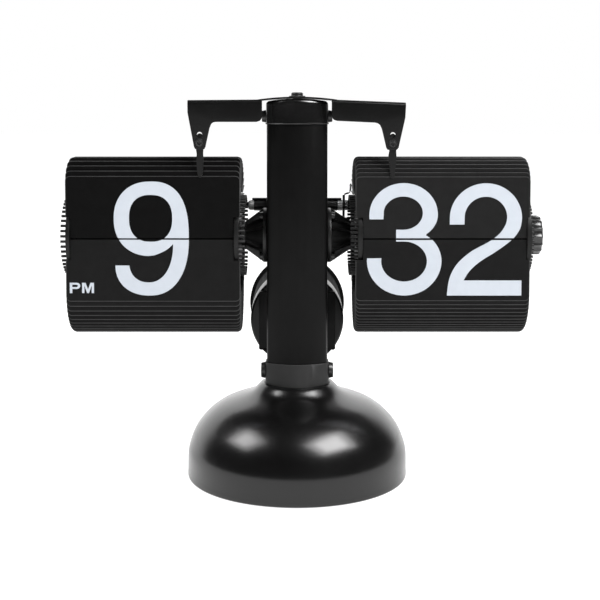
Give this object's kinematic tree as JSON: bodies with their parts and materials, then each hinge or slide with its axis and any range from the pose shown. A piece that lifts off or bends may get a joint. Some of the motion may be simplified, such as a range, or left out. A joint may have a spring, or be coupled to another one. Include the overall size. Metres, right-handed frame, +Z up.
{
  "type": "flip number clock",
  "caption": "Desk flip clock: round domed base, bowed column, two drums of split number leaves, stop bracket on top, battery barrel behind.",
  "frame": {"origin": "centre of the round base on the surface that the clock stands on", "axes": "+X to the right as the clock is read and along the drum axis, +Y away from the reader, +Z up"},
  "size_m": [0.2089, 0.1249, 0.1667],
  "materials": {
    "gloss_black_metal": "gloss",
    "satin_black_metal": "satin",
    "cast_ballast": "rough",
    "cast_alloy": "cast",
    "black_plastic": "matte",
    "gloss_black_plastic": "gloss",
    "grey_plastic": "semi-gloss",
    "leaf_black": "matte",
    "felt_rubber": "matte",
    "zinc_steel": "zinc plated",
    "polished_steel": "polished",
    "black_steel": "black oxide",
    "black_spring_steel": "satin",
    "brass": "machined",
    "white_gear": "moulded",
    "board_green": "satin",
    "cell_jacket": "plain jacket"
  },
  "bodies": {
    "clock_body": {"back_screws": "zinc_steel", "barrel_bracket": "satin_black_metal", "base_pad": "felt_rubber", "base_plate": "black_plastic", "base_screws": "zinc_steel", "base_shell": "gloss_black_metal", "base_weight": "cast_ballast", "battery_barrel": "gloss_black_plastic", "bearing_bushes": "brass", "bearing_plate": "brass", "boss_screws": "black_steel", "bracket_screw": "black_steel", "cap_screws": "black_steel", "cell_contact": "brass", "circuit_board": "board_green", "collar_screws": "black_steel", "column_bolt": "zinc_steel", "column_cap": "satin_black_metal", "column_collar": "satin_black_metal", "column_foot": "cast_alloy", "column_head": "cast_alloy", "column_tube": "satin_black_metal", "cover_screws": "zinc_steel", "finger_screws": "black_steel", "hour_boss": "black_plastic", "hour_lower_leaves": "leaf_black", "hour_stop_finger": "black_spring_steel", "hour_upper_leaves": "leaf_black", "minute_boss": "black_plastic", "minute_lower_leaves": "leaf_black", "minute_stop_finger": "black_spring_steel", "minute_upper_leaves": "leaf_black", "motor": "zinc_steel", "movement_case": "black_plastic", "movement_cover": "black_plastic", "pawl_rod": "polished_steel", "rod_sleeves": "black_plastic", "stop_bracket": "satin_black_metal"},
    "minute_drum": {"minute_shaft": "polished_steel", "minute_hub": "black_plastic", "minute_disc_inner": "gloss_black_plastic", "minute_disc_outer": "gloss_black_plastic", "minute_wheel": "white_gear", "setting_knob": "grey_plastic", "knob_screw": "black_steel"},
    "hour_drum": {"hour_shaft": "polished_steel", "hour_hub": "black_plastic", "hour_disc_inner": "gloss_black_plastic", "hour_disc_outer": "gloss_black_plastic", "hour_wheel": "white_gear", "hour_shaft_nut": "zinc_steel"},
    "reduction_train": {"reduction_arbor": "polished_steel", "reduction_wheel": "white_gear"},
    "motor_rotor": {"motor_pinion": "brass"},
    "hour_front_leaf": {"hour_flip_leaf": "leaf_black"},
    "minute_front_leaf": {"minute_flip_leaf": "leaf_black"},
    "backstop": {"backstop_pawl": "black_steel"},
    "cover": {"battery_cover": "black_plastic", "cover_contact": "brass"},
    "cell": {"d_cell": "cell_jacket"}
  },
  "joints": [
    {"name": "minute_drum_turn", "type": "hinge", "parent": "clock_body", "child": "minute_drum", "pos_m": [0.06, 0.0092, 0.1039], "axis": [1, 0, 0], "continuous": true},
    {"name": "hour_drum_turn", "type": "hinge", "parent": "clock_body", "child": "hour_drum", "pos_m": [-0.06, 0.0092, 0.1039], "axis": [1, 0, 0], "continuous": true},
    {"name": "reduction_turn", "type": "hinge", "parent": "clock_body", "child": "reduction_train", "pos_m": [0, 0.0212, 0.1039], "axis": [1, 0, 0], "continuous": true},
    {"name": "motor_turn", "type": "hinge", "parent": "clock_body", "child": "motor_rotor", "pos_m": [0.0085, 0.0142, 0.11256], "axis": [1, 0, 0], "continuous": true},
    {"name": "hour_leaf_flip", "type": "hinge", "parent": "clock_body", "child": "hour_front_leaf", "pos_m": [-0.062, -0.00796, 0.10502], "axis": [1, 0, 0], "range_deg": [0, 172], "deforming": ["hour_stop_finger"]},
    {"name": "minute_leaf_flip", "type": "hinge", "parent": "clock_body", "child": "minute_front_leaf", "pos_m": [0.0624, -0.00798, 0.1048], "axis": [1, 0, 0], "range_deg": [0, 172], "deforming": ["minute_stop_finger"]},
    {"name": "backstop_lift", "type": "hinge", "parent": "clock_body", "child": "backstop", "pos_m": [0.0213, 0.026, 0.11585], "axis": [1, 0, 0], "range_deg": [0, 10], "stiffness_Nm_per_rad": 0.0002, "springref_deg": -14.32},
    {"name": "cell_slide", "type": "slide", "parent": "clock_body", "child": "cell", "axis": [0, 1, 0], "range_m": [0, 0.072]},
    {"name": "cover_slide", "type": "slide", "parent": "clock_body", "child": "cover", "axis": [0, 1, 0], "range_m": [0, 0.096]}
  ],
  "couplings": [
    {"joint": "hour_drum_turn", "follows": "minute_drum_turn", "ratio": 0.041667},
    {"joint": "reduction_turn", "follows": "minute_drum_turn", "ratio": -0.25},
    {"joint": "motor_turn", "follows": "minute_drum_turn", "ratio": -4},
    {"joint": "cover_slide", "follows": "cell_slide", "ratio": 1.3333}
  ]
}
